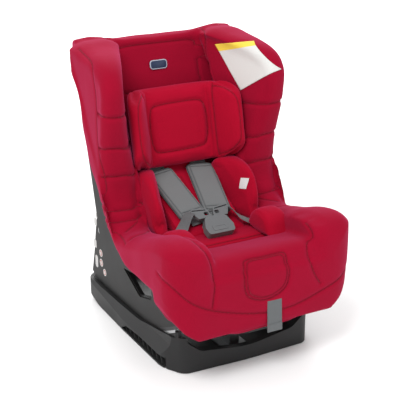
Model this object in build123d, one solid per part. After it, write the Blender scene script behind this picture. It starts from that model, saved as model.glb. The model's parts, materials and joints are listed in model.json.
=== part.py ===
from build123d import *
from math import radians, sin, tan
import os

# Convertible child car seat.  Millimetres, +Z up, front faces -Y, left is -X.
# The origin is on the floor, on the underside of the centre foot.

# ---- driving dimensions ------------------------------------------------------------------
SKIRT_X = 160.0          # outside of the shell's side skirts
SKIRT_T = 4.0            # skirt wall
TUB_X = 190.0            # outside of the bucket's side walls
TUB_T = 4.0              # bucket side wall
SIDE_GAP = 0.6           # skirt to base, each side
BASE_X = 178.0           # half width of the base at the floor
BASE_REAR = 289.0        # rear face of the base
BASE_FRONT = -187.0      # front face of the base at its middle
REST_Y, REST_Z = 100.0, 560.0   # centre of the recline arc
R_SKIRT = 523.0          # bottom edge of the skirts
R_RUNNER = 529.7         # sliding face of the runners
R_RAIL = 530.0           # top face of the rails
R_BED = 536.0            # rail seats in the base
R_RACK = 495.0           # crest of the recline rack
PAD_H = 3.4              # rubber foot thickness
FOOT_DROP = 1.5          # how far the feet stand proud of the base
BACK_SLOPE = 0.2785      # backrest lean, mm of Y per mm of Z
COVER_X = 222.0          # half width over the padded wings
WEB_W, WEB_T = 38.0, 1.6      # harness webbing
CLEAR = 0.4              # between a soft part and its neighbours
SLOT_ROWS = (384.0, 430.0, 476.0)   # heights of the harness slots
SLOT_X = 50.0            # harness slot centres
PIVOT = (110.0, 95.0)    # recline lever pivot, Y and Z
PIN_R = 4.0              # recline lever pin
TAIL_X = 14.0            # middle of the adjuster webbing, which runs right of centre
FIT = 0.05               # radial running clearance


# ---- helpers -----------------------------------------------------------------------------
def outline(points):
    """Closed face through (u, v) or (u, v, r) corners; r rounds that corner."""
    corners = []
    count = len(points)
    for i, point in enumerate(points):
        before, here = Vector(*points[i - 1][:2]), Vector(*point[:2])
        after = Vector(*points[(i + 1) % count][:2])
        if len(point) < 3:
            corners.append((here, None, here))
            continue
        u, v = (before - here).normalized(), (after - here).normalized()
        half = radians(u.get_angle(v) / 2)
        reach = point[2] / tan(half)
        middle = here + (u + v).normalized() * (point[2] / sin(half) - point[2])
        corners.append((here + u * reach, middle, here + v * reach))
    edges = []
    for i, (start, middle, end) in enumerate(corners):
        if middle is not None:
            edges.append(ThreePointArc(start, middle, end))
        following = corners[(i + 1) % count][0]
        if (following - end).length > 1e-6:
            edges.append(Line(end, following))
    return Face(Wire(edges))


def side_prism(points, x0, x1):
    """Outline in (Y, Z) extruded from x0 to x1."""
    return Pos(x0, 0, 0) * extrude(Plane.YZ * outline(points), amount=x1 - x0, dir=(1, 0, 0))


def front_prism(points, y0, y1):
    """Outline in (X, Z) extruded from y0 to y1."""
    return Pos(0, y0, 0) * extrude(Plane.XZ * outline(points), amount=y1 - y0, dir=(0, 1, 0))


def plan_prism(points, z0, z1):
    """Outline in (X, Y) extruded from z0 to z1."""
    return Pos(0, 0, z0) * extrude(outline(points), amount=z1 - z0, dir=(0, 0, 1))


def block(x0, x1, y0, y1, z0, z1):
    return Pos((x0 + x1) / 2, (y0 + y1) / 2, (z0 + z1) / 2) * Box(x1 - x0, y1 - y0, z1 - z0)


def x_rod(y, z, r, x0, x1):
    return Pos((x0 + x1) / 2, y, z) * Rot(0, 90, 0) * Cylinder(r, x1 - x0)


def arc_band(r0, r1, y0, y1, x0, x1):
    """Band about the recline centre between two radii, from y0 to y1."""
    ring = x_rod(REST_Y, REST_Z, r1, x0, x1) - x_rod(REST_Y, REST_Z, r0, x0 - 1, x1 + 1)
    return ring & block(x0 - 1, x1 + 1, y0, y1, 0, REST_Z - 200)


def webbing(points, x0, x1, r=10.0, t=WEB_T):
    """Flat webbing along a path in (Y, Z)."""
    path = FilletPolyline(*points, radius=r)
    return Pos(x0, 0, 0) * extrude(Plane.YZ * trace(path, line_width=t), amount=x1 - x0, dir=(1, 0, 0))


def rounded_box(length, width, height, r):
    return extrude(RectangleRounded(length, width, r), amount=height / 2, both=True)


def both_sides(part):
    return part, mirror(part, about=Plane.YZ)


def back_y(z, offset=0.0):
    """Y of the backrest's inner shell face at height z."""
    return 148.0 + (z - 205.0) * BACK_SLOPE + offset


def save(node, part):
    export_step(part, f"parts/{node}.step")


# ---- base --------------------------------------------------------------------------------
GRILLE = [(70, 5), (-150, 5), (-141, 25), (-20, 25), (45, 19)]


def base_shell():
    floor = FOOT_DROP
    plan = [(-BASE_X + 6, BASE_REAR, 46), (-BASE_X, 60, 300), (-BASE_X, -130, 70), (-150, -181, 26),
            (0, BASE_FRONT, 500), (150, -181, 26), (BASE_X, -130, 70), (BASE_X, 60, 300),
            (BASE_X - 6, BASE_REAR, 46)]
    side = [(-200, floor), (205, floor, 120), (262, 14, 30), (300, 60), (300, 52), (280, 50, 30),
            (98, 52, 200), (-7, 55, 200), (-170, 82, 40), (-200, 84)]
    shoulder = [(-BASE_X, 0), (-BASE_X, 27, 12), (-BASE_X + 11, 60, 12), (-BASE_X + 14, 95),
                (BASE_X - 14, 95), (BASE_X - 11, 60, 12), (BASE_X, 27, 12), (BASE_X, 0)]
    body = plan_prism(plan, 0, 95) & side_prism(side, -200, 200) & front_prism(shoulder, -220, 300)
    inner = SKIRT_X + SIDE_GAP
    well = plan_prism([(-inner, 280, 20), (-inner, -150, 20), (0, -180, 400), (inner, -150, 20),
                       (inner, 280, 20)], floor, 120)
    well &= side_prism([(-200, floor + 4), (203, floor + 4, 116), (257, 18, 26), (296, 64), (296, 130),
                        (-200, 130)], -200, 200)
    beds = None
    for x0, x1 in ((-inner, -150), (150, inner)):
        bed = side_prism([(-168, floor + 2), (240, floor + 2), (268, 30), (268, 58), (-168, 96)], x0, x1)
        bed -= x_rod(REST_Y, REST_Z, R_BED, x0 - 1, x1 + 1)
        beds = bed if beds is None else beds + bed
    body = body - well + (beds & plan_prism(plan, 0, 95))
    body -= front_prism([(-148, 100), (-141, 70, 12), (-112, 47, 30), (0, 33, 300), (112, 47, 30), (141, 70, 12),
                         (148, 100)], -200, -150)
    for side_sign in (-1, 1):
        near, far = side_sign * (inner + 4), side_sign * (BASE_X - 4)
        pocket = [(near, -1), (far, -1), (far, 25, 4), (near, 40, 4)]
        body -= front_prism(pocket, -140, 196)
        body -= side_prism(GRILLE, *sorted((side_sign * (BASE_X - 6), side_sign * (BASE_X + 4))))
    for x, y in FEET:
        body -= Pos(x, y, floor) * rounded_box(26.6, 60.6, 2 * (PAD_H - FOOT_DROP), 8)
    for y in SCREW_Y:
        for x in (-155.0, 155.0):
            body -= rail_screw_at(x, y, 1.7, 20)
    return body


FEET = [(-136, -118), (136, -118), (-136, 160), (136, 160), (0, 5)]
SCREW_Y = (-120.0, 60.0, 235.0)


def rail_screw_at(x, y, r, length):
    """Screw shank standing along the rail's own radius."""
    drop = y - REST_Y
    angle = -(drop / R_RAIL) * 57.2958
    place = Pos(x, REST_Y, REST_Z) * Rot(-angle, 0, 0) * Pos(0, 0, -R_RAIL - 5.8)
    return place * Pos(0, 0, -length / 2) * Cylinder(r, length)


def rail_screws():
    screws = None
    for x in (-155.0, 155.0):
        for y in SCREW_Y:
            shank = rail_screw_at(x, y, 1.65, 14)
            screws = shank if screws is None else screws + shank
    return screws


def foot_pads():
    pads = None
    for x, y in FEET:
        pad = Pos(x, y, PAD_H / 2) * rounded_box(26, 60, PAD_H, 7.6)
        for k in range(-2, 3):
            pad -= block(x - 15, x + 15, y + 10 * k - 1, y + 10 * k + 1, -1, 0.8)
        pads = pad if pads is None else pads + pad
    return pads


def side_grille():
    near = SKIRT_X + SIDE_GAP + 4.2
    frame = side_prism([(70, 3), (-136, 3), (-136, 25), (-20, 25), (45, 21)], near, near + 2)
    ribs = None
    for k in range(9):
        y = -126 + 22 * k
        rib = side_prism([(y, 3.4), (y + 3, 3.4), (y + 10, 21), (y + 7, 21)], near + 1, BASE_X - 4.6)
        ribs = rib if ribs is None else ribs + rib
    sole = block(near, BASE_X - 4.6, -136, 70, 3, 4.4)
    return frame + ribs + sole


def rail(x0=150.4, x1=SKIRT_X + 0.2):
    return arc_band(R_RAIL, R_BED - 0.2, -160, 262, x0, x1)


def detent_rack():
    plate = side_prism([(-128, FOOT_DROP + 4.1), (12, FOOT_DROP + 4.1), (12, 90), (-128, 130)], -12, 12)
    plate &= block(-20, 20, -128, 12, 0, 140)
    plate -= x_rod(REST_Y, REST_Z, R_RACK, -20, 20)
    for k in range(5):
        place = Pos(0, REST_Y, REST_Z) * Rot(-(14.2 + 2.75 * k), 0, 0) * Pos(0, 0, -R_RACK)
        plate -= place * Box(40, 12, 12)
    for y, z, r in ((-100, 38, 18), (-60, 34, 16), (-24, 28, 12)):
        plate -= x_rod(y, z, r, -20, 20)
    foot = block(-30, 30, -128, 12, FOOT_DROP + 4.1, FOOT_DROP + 7.1)
    return plate + foot


# ---- seat shell --------------------------------------------------------------------------
PAN_TOP = [(-300, 241), (-212, 241, 20), (-150, 218, 60), (-85, 192, 60), (60, 172, 60)]


def tub_profile(grow=0.0):
    """Side view of the bucket's walls; grow swells it for the soft parts' clearance."""
    g = grow
    return [(-233 - g, 134), (-234 - g, 256, 18), (-205, 282 + g, 18), (-148, 277 + g, 30), (-90, 250 + g, 60),
            (0, 209 + g, 40), (46 - g, 213 + g, 24), (77 - g, 262, 50), (85 - g, 342, 60),
            (79 - g, 401, 60), (62 - g, 478, 90), (57 - g, 545, 40), (82 - g, 580 + g, 30),
            (138, 603 + g, 30), (226, 607 + g, 20), (back_y(600, 5.3 + g), 600 + g, 6),
            (back_y(170, 5.5 + g), 169.5 - g, 30), (60, 165 - g, 60), (-85, 185 - g, 60), (-150, 211 - g, 60),
            (-212, 235 - g, 6), (-228 + g, 228, 4), (-228 + g, 134)]


def tub_inside(shrink=0.0):
    """Side view of the bucket's hollow, open to the front and top."""
    s = shrink
    return [(-420, 241 + s), (-214, 241 + s, 16), (-150, 218 + s, 60), (-85, 192 + s, 60), (60, 172 + s, 60),
            (back_y(176, -s), 176 + s, 26), (back_y(700, -s), 700), (-420, 700)]


def tub_front(x):
    """Front view of the bucket's walls."""
    waist = x - 2
    return [(-waist, 100), (-waist, 330, 200), (-x, 470, 200), (-x, 560, 120), (-x + 14, 700),
            (x - 14, 700), (x, 560, 120), (x, 470, 200), (waist, 330, 200), (waist, 100)]


def seat_shell():
    tub = side_prism(tub_profile(), -TUB_X, TUB_X) & front_prism(tub_front(TUB_X), -320, 320)
    hollow = side_prism(tub_inside(), -TUB_X, TUB_X) & front_prism(tub_front(TUB_X - TUB_T), -420, 420)
    tub -= hollow
    skirt_line = [(-200, 60), (-196, 229), (-150, 213.5), (-85, 187.5), (60, 167.5), (138, 173), (148, 195),
                  (back_y(345, 2), 345), (202, 345, 20), (212, 282, 60), (240, 179, 60), (251, 124, 60),
                  (269, 58, 6), (262, 20)]
    belt_gate = [(-54, 120, 12), (8, 102, 20), (118, 153, 8), (60, 157, 20), (-44, 165, 12)]
    webs = None
    for sign in (-1, 1):
        x0, x1 = sorted((sign * (SKIRT_X - SKIRT_T), sign * SKIRT_X))
        web = side_prism(skirt_line, x0, x1) & x_rod(REST_Y, REST_Z, R_SKIRT, x0, x1)
        web -= side_prism(belt_gate, x0 - 1, x1 + 1)
        rim = side_prism(belt_gate, *sorted((sign * (SKIRT_X - 12), sign * (SKIRT_X - SKIRT_T + 1))))
        inner_gate = [(-50, 122, 10), (8, 105.4, 18), (108, 151, 6), (60, 154, 20), (-41, 161.6, 10)]
        rim -= side_prism(inner_gate, -200, 200)
        web += rim
        webs = web if webs is None else webs + web
    flange = arc_band(R_SKIRT - 4, R_SKIRT, -176, 262, -SKIRT_X, -SKIRT_X + 10)
    shell = tub + webs + flange + mirror(flange, about=Plane.YZ)
    for z in (186.0, 120.0):
        y = 226 + (186 - z) * 0.3
        shell += x_rod(y, z, 7, -SKIRT_X + 1, SKIRT_X - 1)
    for z in SLOT_ROWS:
        for x in (-SLOT_X, SLOT_X):
            shell -= block(x - 23, x + 23, back_y(z) - 12, back_y(z) + 16, z - 4, z + 4)
    for y in (-88.0, -118.0):
        shell -= block(-23, 23, y - 4, y + 4, 150, 260)
    for sign in (-1, 1):
        shell -= lap_slot(sign, 150, 200)
    shell -= block(TAIL_X - 20, TAIL_X + 20, -240, -215, 196, 204)
    for x, y, z in REAR_SCREWS:
        shell -= rear_frame(x, z) * Cylinder(1.9, 30)
    for x in BRACKET_X:
        shell -= Pos(x, BRACKET_Y, 166) * Cylinder(2.05, 24)
    return shell


def rear_frame(x, z, lift=0.0):
    """Place on the rear face of the backrest, local Z pointing out of the back."""
    y = back_y(z, 5.3)
    normal = Vector(0, 1, -BACK_SLOPE).normalized()
    origin = Vector(x, y, z) + normal * lift
    return Plane(origin=origin, x_dir=(-1, 0, 0), z_dir=normal)


REAR_SCREWS = [(x, 0, z) for x in (-84.0, 84.0) for z in (516.0, 588.0)]
BRACKET_X = (-29.0, 44.0)
BRACKET_Y = 107.0


def runner():
    x0 = SKIRT_X - 9
    strip = arc_band(R_SKIRT + 0.1, R_RUNNER, -174, 262, x0, SKIRT_X - 0.2)
    return strip


def rear_cover():
    """Storage lid on the back, with a finger scoop in its lower edge."""
    place = rear_frame(0, 552, 0.2)
    lid = place * (Pos(0, 0, 8) * rounded_box(188, 92, 16, 16))
    lid -= place * (Pos(0, 0, 6.4) * rounded_box(182, 86, 13, 13))
    for x, _, z in REAR_SCREWS:
        lid += rear_frame(x, z, 0.2) * (Pos(0, 0, 7) * Cylinder(5, 14))
    for x, _, z in REAR_SCREWS:
        lid -= rear_frame(x, z) * Cylinder(1.9, 60)
        lid -= rear_frame(x, z, 14) * (Pos(0, 0, 3) * Cylinder(4.2, 6))
    for k in (-1, 0, 1):
        lid += place * (Pos(0, 20 * k, 16.2) * rounded_box(110, 5, 1.6, 2.4))
    return lid


def rear_screws():
    screws = None
    for x, _, z in REAR_SCREWS:
        screw = rear_frame(x, z, -2) * (Pos(0, 0, 8) * Cylinder(1.8, 16))
        head = rear_frame(x, z, 14.0) * (Pos(0, 0, 1.2) * Cylinder(3.8, 2.0))
        head -= rear_frame(x, z, 15.4) * Cylinder(1.4, 2.0)
        screw = screw + head
        screws = screw if screws is None else screws + screw
    return screws


# ---- recline lever -----------------------------------------------------------------------
def lever_bracket():
    """Steel U under the pan that carries the lever's pin."""
    y, z = PIVOT
    bracket = block(-37, 52, BRACKET_Y - 14, BRACKET_Y + 14, 162.6, 164.6)
    for x0, x1 in ((-21, -19), (35, 37)):
        cheek = side_prism([(BRACKET_Y - 14, 164), (y - 10, z - 6, 9), (y + 10, z - 6, 9), (BRACKET_Y + 14, 164)],
                           x0, x1)
        bracket += cheek
    bracket -= x_rod(y, z, PIN_R + 0.02, -40, 40)
    for x in BRACKET_X:
        bracket -= Pos(x, BRACKET_Y, 163) * Cylinder(2.05, 10)
    return bracket


def bracket_screws():
    screws = None
    for x in BRACKET_X:
        screw = Pos(x, BRACKET_Y, 166) * Cylinder(2.0, 13)
        screw += Pos(x, BRACKET_Y, 161.0) * Cylinder(4.0, 3.0)
        screws = screw if screws is None else screws + screw
    return screws


def lever_pin():
    pin = x_rod(*PIVOT, PIN_R, -23, 39)
    for x0, x1 in ((-24, -21.3), (37.3, 40)):
        pin += x_rod(*PIVOT, 6.0, x0, x1)
    return pin


def recline_lever():
    y, z = PIVOT
    path = FilletPolyline((y, z), (0, 93), (-72, 109), (-131, 137), (-166, 130), (-204, 102), (-228, 99),
                          radius=18)
    arm = Pos(-7, 0, 0) * extrude(Plane.YZ * trace(path, line_width=11), amount=14, dir=(1, 0, 0))
    arm += x_rod(y, z, 10, -18.5, 34.5)
    arm -= x_rod(y, z, PIN_R + FIT, -40, 40)
    arm += side_prism([(-17, 96), (-15, 80, 1.5), (-5, 79, 1.5), (-3, 96)], -7, 7)
    arm += plan_prism([(-5, 12), (-5, 32), (-36, 32, 6), (-36, 12, 6)], 90, 96)
    arm += Pos(-27, 22, 97.5) * Cylinder(4.6, 4)
    return arm


def lever_grip():
    """Pull handle moulded over the lever's front end."""
    grip = side_prism([(-238, 92, 6), (-206, 91, 5), (-206, 107, 5), (-238, 108, 6)], -46, 46)
    grip &= plan_prism([(-46, -205), (-46, -226, 18), (-30, -238, 18), (30, -238, 18), (46, -226, 18),
                        (46, -205)], 80, 120)
    grip -= recline_lever_pocket()
    for k in range(-3, 4):
        grip -= block(11 * k - 1.2, 11 * k + 1.2, -236, -210, 107, 112)
    return grip


def recline_lever_pocket():
    return block(-7.1, 7.1, -229, -200, 92.2, 110.2)


def lever_spring():
    """Coil between the pan and the lever's spring seat."""
    return coil(Pos(-27, 22, 96.4), 6.6, 1.5, 69.2, 8.5)


def coil(place, radius, wire, height, pitch):
    path = Helix(pitch, height - wire, radius)
    start = path.position_at(0)
    profile = Plane(origin=start, z_dir=path.tangent_at(0)) * Circle(wire / 2)
    return place * (Pos(0, 0, wire / 2) * sweep(profile, path=path))


# ---- harness -----------------------------------------------------------------------------
def strap_frame(sign):
    """Plane of a shoulder pad: X down the strap, Z out of it."""
    top, bottom = Vector(sign * 50, 117, 332), Vector(sign * 31, 4, 272)
    along = (bottom - top).normalized()
    return Plane(origin=(top + bottom) / 2, x_dir=along, z_dir=along.cross(Vector(1, 0, 0)).normalized())


def shoulder_strap(sign):
    """From the yoke behind the back, through a slot, along the pad to the tongue."""
    place = strap_frame(sign)
    x0, x1 = sorted((sign * (SLOT_X + 2) - WEB_W / 2, sign * (SLOT_X + 2) + WEB_W / 2))
    lower = place * (Pos(9, 0, 0) * Box(170, WEB_W - 1, WEB_T))
    upper = webbing([(123.5, 335.4), (141, 345), (150, 376.5), (184, 384), (back_y(384, 17.4), 382),
                     (back_y(325, 17.4), 326)], x0, x1, r=5)
    return lower + upper


def shoulder_pad(sign):
    place = strap_frame(sign)
    pad = place * rounded_box(150, 48, 10, 10)
    pad -= place * Box(160, WEB_W + 0.4, WEB_T + 0.8)
    return pad


BUCKLE = Plane(origin=(0, -54, 259), x_dir=(1, 0, 0), z_dir=Vector(0, -sin(radians(33)), sin(radians(57))))


def buckle_housing():
    face = outline([(-31, -22, 7), (31, -22, 7), (34, -4, 8), (26, 20, 6), (17, 24, 3), (-17, 24, 3),
                    (-26, 20, 6), (-34, -4, 8)])
    body = extrude(face, amount=8.5, both=True)
    body -= Pos(0, 14, 0) * Box(48, 26, 5.2)
    body -= Pos(0, -7, 5.5) * rounded_box(36.4, 16.4, 17, 4.2)
    body -= Pos(0, -17, -4.0) * Box(WEB_W + 1, 4.0, 12)
    return BUCKLE * body


def buckle_button():
    cap = Pos(0, -7, 5.1) * rounded_box(36, 16, 8, 4)
    cap -= Pos(0, -7, 9.4) * rounded_box(24, 5, 1.6, 2.2)
    return BUCKLE * cap


def button_spring():
    return BUCKLE * coil(Pos(0, -7, -2.9), 2.6, 0.7, 3.8, 1.5)


def tongue(sign):
    """Steel tongue with a moulded strap loop; the two together close the buckle's arch."""
    blade = Pos(sign * 11.5, 14, 0) * rounded_box(20, 23, 2.4, 1.5)
    outer = [(sign * 2.5, 26), (sign * 2.5, 31, 3), (sign * 9, 50, 6), (sign * 44, 54, 6), (sign * 46, 44, 4),
             (sign * 35, 25)]
    head = extrude(outline(outer), amount=3, both=True)
    head -= Pos(sign * 27, 47, 0) * Rot(0, 0, sign * 6) * Box(33, 2.8, 10)
    head -= Pos(sign * 13, 36, 0) * rounded_box(11, 9, 10, 3)
    return BUCKLE * (blade + head)


def crotch_strap():
    return webbing([(-64, 240.3), (-88, 230), (-88, 177)], -WEB_W / 2 + 1, WEB_W / 2 - 1, r=5)


def lap_place(sign):
    """Swings the lap strap forwards, away from the body support."""
    return Pos(sign * 47, -15, 0) * Rot(0, 0, -18 * sign) * Pos(-sign * 47, 15, 0)


def lap_slot(sign, z0, z1):
    return lap_place(sign) * block(sign * 118.4 - 3.5, sign * 118.4 + 3.5, -33, 3, z0, z1)


def lap_strap(sign):
    """From the tongue's loop down beside the child to a slot in the pan."""
    across = [(47.5, 283), (76, 279), (109, 270), (118.4, 260), (118.4, 168)]
    path = FilletPolyline(*[(sign * x, z) for x, z in across], radius=4)
    strap = extrude(Plane.XZ * trace(path, line_width=WEB_T), amount=30, dir=(0, 1, 0))
    return lap_place(sign) * (Pos(0, -30, 0) * strap)


def anchor_bars():
    """Steel bars that hold the lap and crotch straps under the pan."""
    bars = block(-26, 26, -100, -76, 173.4, 176.0)
    for sign in (-1, 1):
        bars += lap_place(sign) * block(sign * 118.4 - 11, sign * 118.4 + 11, -38, 8, 164, 166.8)
    return bars


def yoke_plate():
    place = rear_frame(0, 318, 8)
    tab = -TAIL_X
    plate = extrude(outline([(-74, 14, 6), (74, 14, 6), (70, -4, 6), (tab + 24, -24, 6), (tab - 24, -24, 6),
                             (-70, -4, 6)]), amount=1.25, both=True)
    for x in (-(SLOT_X + 2), SLOT_X + 2):
        plate -= Pos(x, 5, 0) * Box(WEB_W + 2, 4, 10)
    plate -= Pos(tab, -15, 0) * Box(WEB_W - 2, 4, 10)
    return place * plate


def adjuster_webbing():
    """From the yoke, round the bite and under the pan to the front adjuster."""
    z = 303.0
    path = [(back_y(z, 17.2), z), (back_y(215, 17.2), 215), (144, 152), (60, 150), (-104, 163), (-160, 194),
            (-198, 204), (-214, 200), (-236.5, 200)]
    return webbing(path, TAIL_X - 17, TAIL_X + 17, r=5, t=1.4)


def adjuster_housing():
    x = TAIL_X
    box_ = block(x - 27, x + 27, -249, -235, 184, 222)
    box_ -= block(x - 23, x + 23, -252, -237.5, 188, 224)
    box_ -= block(x - 18.5, x + 18.5, -252, -230, 196.5, 203.5)
    box_ -= block(x - 18.5, x + 18.5, -252, -237.5, 180, 200)
    box_ -= x_rod(-241, 214, 1.55, x - 30, x + 30)
    return box_


def adjuster_pin():
    return x_rod(-241, 214, 1.5, TAIL_X - 26.5, TAIL_X + 26.5)


def adjuster_button():
    """Cam lever that releases the front strap, pressed at its top edge."""
    cam = x_rod(-241, 214, 3.2, -22, 14)
    cam += side_prism([(-250, 222.5, 1), (-245.5, 223.5, 1), (-240, 215), (-243, 212), (-247.5, 216, 1)], -20, 12)
    cam += side_prism([(-244, 214), (-240, 213), (-243, 205.4, 0.8), (-246, 206, 0.8)], -18, 12)
    cam -= x_rod(-241, 214, 1.5 + FIT, -40, 40)
    return Pos(TAIL_X, 0, 0) * cam


def adjuster_spring():
    return coil(Pos(TAIL_X + 15.2, -241, 214) * Rot(0, 90, 0), 2.3, 0.6, 6.6, 1.0)


def adjuster_strap():
    """Free tail of the adjuster, with its end folded back and stitched."""
    x0, x1 = TAIL_X - 17, TAIL_X + 17
    tail = webbing([(-238.6, 200), (-247, 199), (-252, 184), (-262.6, 168), (-265, 130), (-266, 102)],
                   x0, x1, r=3, t=1.4)
    fold = side_prism([(-265.6, 118, 0.4), (-267.4, 118, 0.4), (-268.4, 101.6, 0.8), (-265.8, 100.6, 0.8)], x0, x1)
    return tail + fold


# ---- belt lock-offs on the back ------------------------------------------------------------
CLAMP_Z = 360.0


def clamp_place(sign):
    return rear_frame(sign * 128, CLAMP_Z, 0.4)


def clamp_base(sign):
    body = Pos(0, 0, 3) * rounded_box(46, 70, 6, 8)
    for y in (-29, 29):
        ear = Pos(16 * -sign, y, 10) * Box(10, 6, 14)
        body += ear
    body -= Pos(16 * -sign, 0, 12) * Rot(90, 0, 0) * Cylinder(2.02, 100)
    return clamp_place(sign) * body


def clamp_lever(sign):
    arm = Pos(1.5 * sign, 0, 12) * rounded_box(35, 50, 6, 5)
    arm += Pos(16 * -sign, 0, 12) * Rot(90, 0, 0) * Cylinder(4.6, 50)
    arm -= Pos(16 * -sign, 0, 12) * Rot(90, 0, 0) * Cylinder(2.0 + FIT, 100)
    arm += Pos(15 * sign, 0, 8.6) * Box(4, 44, 3)
    return clamp_place(sign) * arm


def clamp_pins():
    pins = None
    for sign in (-1, 1):
        pin = clamp_place(sign) * (Pos(16 * -sign, 0, 12) * Rot(90, 0, 0) * Cylinder(2.0, 66))
        pins = pin if pins is None else pins + pin
    return pins


# ---- padded parts ------------------------------------------------------------------------
def keep_out():
    """Everything a soft part has to stay clear of: shell walls, pan, back and under-pan."""
    walls = side_prism(tub_profile(CLEAR), -TUB_X - CLEAR, TUB_X + CLEAR)
    walls &= front_prism(tub_front(TUB_X + CLEAR), -320, 320)
    walls -= side_prism(tub_inside(CLEAR), -200, 200) & front_prism(tub_front(TUB_X - TUB_T - CLEAR), -420, 420)
    under = side_prism([(-228, 130), (-228, 242), (-150, 214), (-85, 188), (60, 168), (150, 176),
                        (250, 600), (330, 560), (300, 100)], -SKIRT_X - 1, SKIRT_X + 1)
    return walls + under


def wing():
    """Side bolster wrapped round the shell's upright wall, right-hand one."""
    outer = [(12, 238, 6), (38, 262, 20), (50, 300, 40), (56, 342, 60), (50, 401, 80), (36, 478, 120),
             (27, 545, 50), (48, 588, 40), (92, 609, 40), (150, 623, 40), (206, 631, 20), (238, 604, 14),
             (217, 558, 20), (176, 520, 20), (167, 469, 60), (158, 417, 80), (141, 367, 60), (103, 345, 20),
             (83, 278, 40), (50, 246, 20), (32, 228, 6)]
    body = side_prism(outer, 134, COVER_X)
    face = [(134, 200), (134, 520, 200), (146, 700), (214, 700), (COVER_X, 560, 120), (COVER_X, 470, 200),
            (213, 330, 200), (215, 200)]
    return body & front_prism(face, -60, 300)


def back_cover():
    """Centre of the back, over the top edge and a short way down behind."""
    front = [(back_y(218, -22), 218, 6), (back_y(556, -22), 556, 60), (229, 600, 12), (238, 618, 8),
             (271, 618, 8), (268, 601), (264, 601), (262, 607.5), (257, 607.5), (back_y(598, -0.6), 598),
             (back_y(212, -0.6), 212)]
    body = side_prism(front, -133.4, 133.4)
    for z in SLOT_ROWS:
        for x in (-SLOT_X, SLOT_X):
            body -= block(x - 23, x + 23, back_y(z) - 60, back_y(z) + 2, z - 4, z + 4)
    return body


def seat_cushion():
    """Seat centre and front apron in one piece."""
    line = [(112, 200, 8), (-82, 213, 20), (-112, 226, 10), (-126, 246, 12), (-200, 266, 60), (-238, 269, 14),
            (-249, 250, 20), (-254, 215, 40), (-257, 160, 60), (-261, 104, 2), (-252, 104, 2),
            (-244, 166, 30), (-235, 200, 6), (-235, 243, 8), (-212, 243.4, 8), (-148, 219, 30),
            (-85, 193.2, 30), (60, 173.2, 30), (112, 176, 4)]
    body = side_prism(line, -122, 122)
    body -= block(TAIL_X - 28, TAIL_X + 28, -270, -234, 180, 226)
    body -= block(TAIL_X - 18.5, TAIL_X + 18.5, -290, -248, 160, 206)
    for y in (-88.0, -118.0):
        body -= block(-22, 22, y - 4, y + 4, 150, 262)
    for sign in (-1, 1):
        body -= lap_slot(sign, 150, 262)
    return body


def lobe():
    """Padded thigh side of the seat, right-hand one."""
    line = [(8, 234, 4), (-88, 276, 40), (-156, 304, 40), (-204, 310, 30), (-240, 300, 20), (-254, 262, 20),
            (-257, 215, 40), (-261, 172, 20), (-259, 122, 4), (-250, 122, 4), (-240, 172, 20), (-216, 190, 20),
            (-149, 194, 40), (-88, 190, 60), (-40, 192, 40), (4, 206, 10), (26, 226, 4)]
    body = side_prism(line, 122.4, COVER_X)
    plan = [(122.4, 60), (122.4, -256), (150, -262), (196, -250, 20), (COVER_X, -205, 60), (COVER_X, -60, 120),
            (212, 60)]
    return body & plan_prism([(x, y - 18 if y < -100 else y, *r) for x, y, *r in plan], 100, 330)


def head_pillow():
    """Soft head hugger: a thin centre with two ears folded forward."""
    place = Plane(origin=(0, 146, 370), x_dir=(1, 0, 0), z_dir=Vector(0, 0.2250, 0.9744))
    shape = [(-84, -2, 14), (84, -2, 14), (132, -74, 8), (120, -92, 8), (104, -88, 8), (74, -34, 14),
             (-74, -34, 14), (-104, -88, 8), (-120, -92, 8), (-132, -74, 8)]
    return place * extrude(outline(shape), amount=148, dir=(0, 0, 1))


def insert_back():
    """Sloping wedge of the newborn insert, under the straps."""
    line = [(-40, 234, 2), (-36, 248, 4), (6, 263.2, 30), (118, 323.4, 20), (136, 332, 8), (147, 350),
            (158, 350, 4), (127, 234, 6)]
    body = side_prism(line, -74, 74)
    for x in (-(SLOT_X + 2), SLOT_X + 2):
        body -= block(x - 20, x + 20, 118, 170, 327, 380)
    return body


def insert_bolster():
    """Upright body support of the insert, right-hand one."""
    line = [(-8, 234, 6), (-4, 300, 20), (30, 350, 26), (74, 363, 30), (112, 354, 20), (134, 330, 12),
            (120, 234, 6)]
    return side_prism(line, 76, 112)


def insert_seat():
    line = [(-95, 222.5, 2), (-94, 230, 4), (-48, 232, 8), (112, 228, 6), (114, 201.4, 4), (-80, 214.4, 10)]
    body = side_prism(line, -108, 108)
    body -= block(-22, 22, -94, -82, 150, 262)
    for sign in (-1, 1):
        body -= lap_slot(sign, 150, 262)
    return body


def hip_pad():
    """Small round thigh support in front of the lap strap."""
    line = [(-122, 242, 3), (-118, 262, 12), (-92, 279, 14), (-70, 272, 12), (-62, 252, 8), (-64, 233.4, 3),
            (-100, 233.4, 3)]
    return side_prism(line, 80, 118)


def crotch_pad():
    return BUCKLE * (Pos(0, 4, -13.8) * rounded_box(54, 34, 4, 8))


def flap_patch():
    """U-shaped press-through patch over the adjuster."""
    shape = [(-45, 176, 30), (45, 176, 30), (45, 262, 14), (-45, 262, 14)]
    skin = side_prism([(-244, 269), (-254.5, 250, 20), (-259, 215, 40), (-262, 165), (-265, 165),
                       (-262, 215, 40), (-257.5, 251, 20), (-247, 272)], -60, 60)
    skin -= block(TAIL_X - 18.5, TAIL_X + 18.5, -264, -240, 160, 190)
    return skin & front_prism(shape, -300, -200)


def badge():
    y = back_y(556, -22.6)
    place = Plane(origin=(0, y, 556), x_dir=(1, 0, 0), z_dir=Vector(0, -1, 0.19).normalized())
    return place * (Pos(0, 0, 1.7) * rounded_box(42, 20, 2, 6))


def wing_label():
    """Blank label sewn to the inner face of the right wing."""
    return block(132.8, 133.6, 62, 150, 505, 600)


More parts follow.
